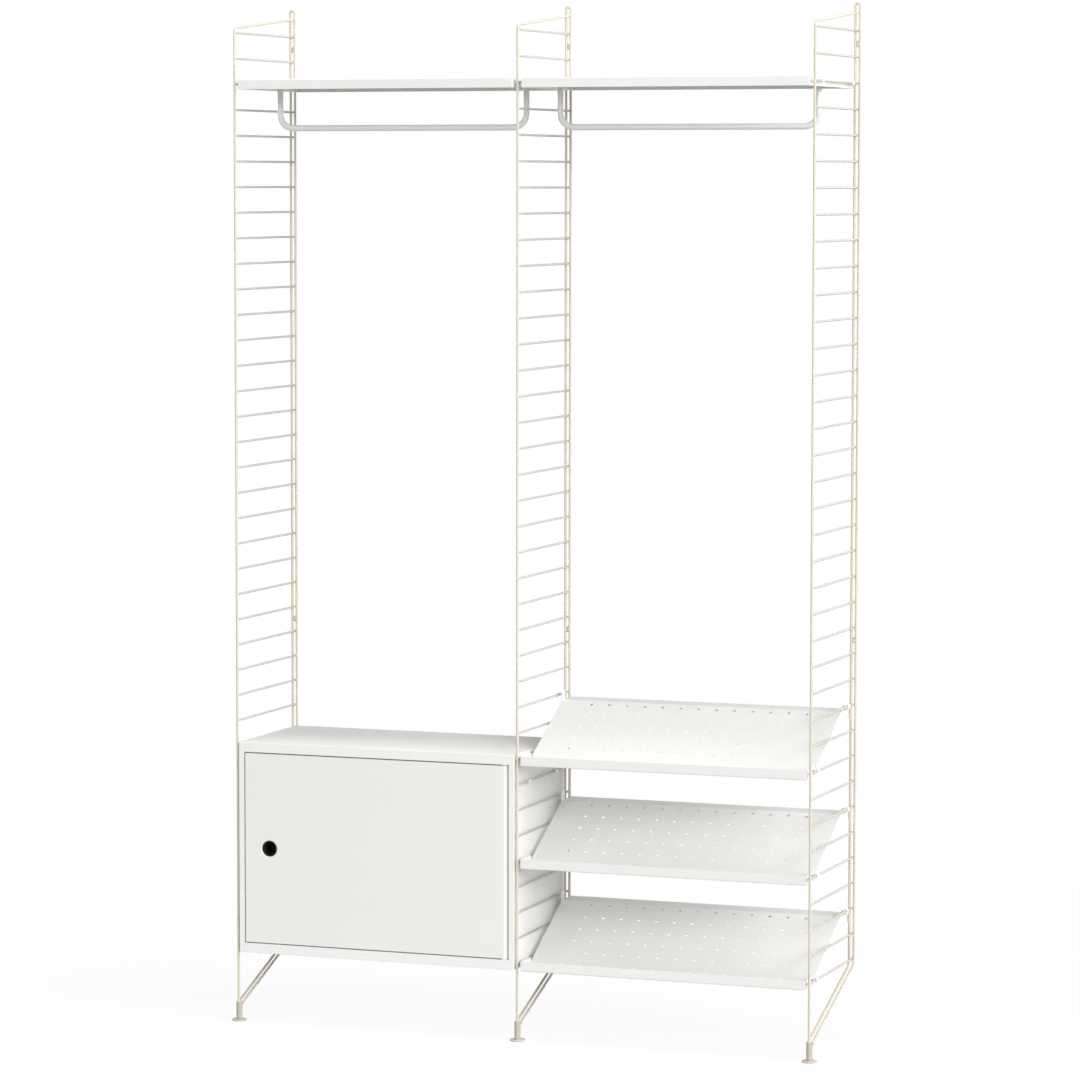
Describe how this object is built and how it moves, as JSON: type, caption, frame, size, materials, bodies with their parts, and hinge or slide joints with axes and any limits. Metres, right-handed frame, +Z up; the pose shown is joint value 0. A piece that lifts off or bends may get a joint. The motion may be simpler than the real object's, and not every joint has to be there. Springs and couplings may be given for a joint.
{
  "type": "hallway shelving system",
  "caption": "Wall-fixed hallway shelving: wire ladder panels carry sheet-metal shelves with clothes rails, a cabinet with a hinged door and tilted shoe shelves",
  "frame": {"origin": "on the floor, in the middle of the footprint", "axes": "+X to the right seen from the front, +Y to the wall, +Z up"},
  "size_m": [1.21, 0.303, 2.005],
  "materials": {
    "panel_enamel": "satin cream powder coat on steel wire",
    "sleeve_enamel": "matt beige powder coat on the steel sleeve",
    "shelf_enamel": "satin white powder coat on sheet steel",
    "rail_enamel": "satin white powder coat on steel tube",
    "cabinet_lacquer": "white lacquered board",
    "door_lacquer": "white lacquered board, satin",
    "back_board": "white painted fibreboard",
    "beech": "plain beech, fluted dowel",
    "bracket_enamel": "white paint on steel brackets and screw heads",
    "liner_plastic": "fine matt black moulded plastic",
    "zinc_steel": "zinc plated steel",
    "white_plastic": "fine matt moulded plastic",
    "spacer_plastic": "fine matt moulded plastic",
    "foot_plastic": "grey matt moulded plastic"
  },
  "bodies": {
    "panels": {"left_panel_front_wire": "panel_enamel", "left_panel_rear_wires": "panel_enamel", "left_panel_rungs": "panel_enamel", "left_foot_sleeve": "sleeve_enamel", "middle_panel_front_wire": "panel_enamel", "middle_panel_rear_wires": "panel_enamel", "middle_panel_rungs": "panel_enamel", "middle_foot_sleeve": "sleeve_enamel", "right_panel_front_wire": "panel_enamel", "right_panel_rear_wires": "panel_enamel", "right_panel_rungs": "panel_enamel", "right_foot_sleeve": "sleeve_enamel", "wall_spacers": "spacer_plastic"},
    "left_foot": {"left_levelling_foot": "foot_plastic"},
    "middle_foot": {"middle_levelling_foot": "foot_plastic"},
    "right_foot": {"right_levelling_foot": "foot_plastic"},
    "left_shelf": {"left_top_shelf": "shelf_enamel", "left_clothes_rail": "rail_enamel", "left_rail_plugs": "white_plastic", "left_rail_screws": "zinc_steel"},
    "right_shelf": {"right_top_shelf": "shelf_enamel", "right_clothes_rail": "rail_enamel", "right_rail_plugs": "white_plastic", "right_rail_screws": "zinc_steel"},
    "top_shoe": {"top_shoe_shelf": "shelf_enamel"},
    "middle_shoe": {"middle_shoe_shelf": "shelf_enamel"},
    "bottom_shoe": {"bottom_shoe_shelf": "shelf_enamel"},
    "cabinet": {"cabinet_top": "cabinet_lacquer", "cabinet_bottom": "cabinet_lacquer", "cabinet_left_side": "cabinet_lacquer", "cabinet_right_side": "cabinet_lacquer", "cabinet_back": "back_board", "cabinet_inner_shelf": "cabinet_lacquer", "inner_shelf_pins": "zinc_steel", "cabinet_dowels": "beech", "cabinet_hooks": "bracket_enamel", "cabinet_hook_screws": "bracket_enamel", "pivot_bushes": "white_plastic", "door_catch": "white_plastic"},
    "door": {"door": "door_lacquer", "finger_hole_liner": "liner_plastic", "door_pivot_pins": "zinc_steel", "door_strike_plate": "zinc_steel"}
  },
  "joints": [
    {"name": "left_foot_level", "type": "slide", "parent": "panels", "child": "left_foot", "axis": [0, 0, -1], "range_m": [0, 0.01]},
    {"name": "middle_foot_level", "type": "slide", "parent": "panels", "child": "middle_foot", "axis": [0, 0, -1], "range_m": [0, 0.01]},
    {"name": "right_foot_level", "type": "slide", "parent": "panels", "child": "right_foot", "axis": [0, 0, -1], "range_m": [0, 0.01]},
    {"name": "left_shelf_lift", "type": "slide", "parent": "panels", "child": "left_shelf", "axis": [0, 0, 1], "range_m": [0, 0.04]},
    {"name": "right_shelf_lift", "type": "slide", "parent": "panels", "child": "right_shelf", "axis": [0, 0, 1], "range_m": [0, 0.04]},
    {"name": "top_shoe_lift", "type": "slide", "parent": "panels", "child": "top_shoe", "axis": [0, 0, 1], "range_m": [0, 0.04]},
    {"name": "middle_shoe_lift", "type": "slide", "parent": "panels", "child": "middle_shoe", "axis": [0, 0, 1], "range_m": [0, 0.04]},
    {"name": "bottom_shoe_lift", "type": "slide", "parent": "panels", "child": "bottom_shoe", "axis": [0, 0, 1], "range_m": [0, 0.04]},
    {"name": "cabinet_lift", "type": "slide", "parent": "panels", "child": "cabinet", "axis": [0, 0, 1], "range_m": [0, 0.04]},
    {"name": "door_swing", "type": "hinge", "parent": "cabinet", "child": "door", "pos_m": [-0.0269, -0.135, 0.3485], "axis": [0, 0, 1], "range_deg": [0, 95]}
  ]
}
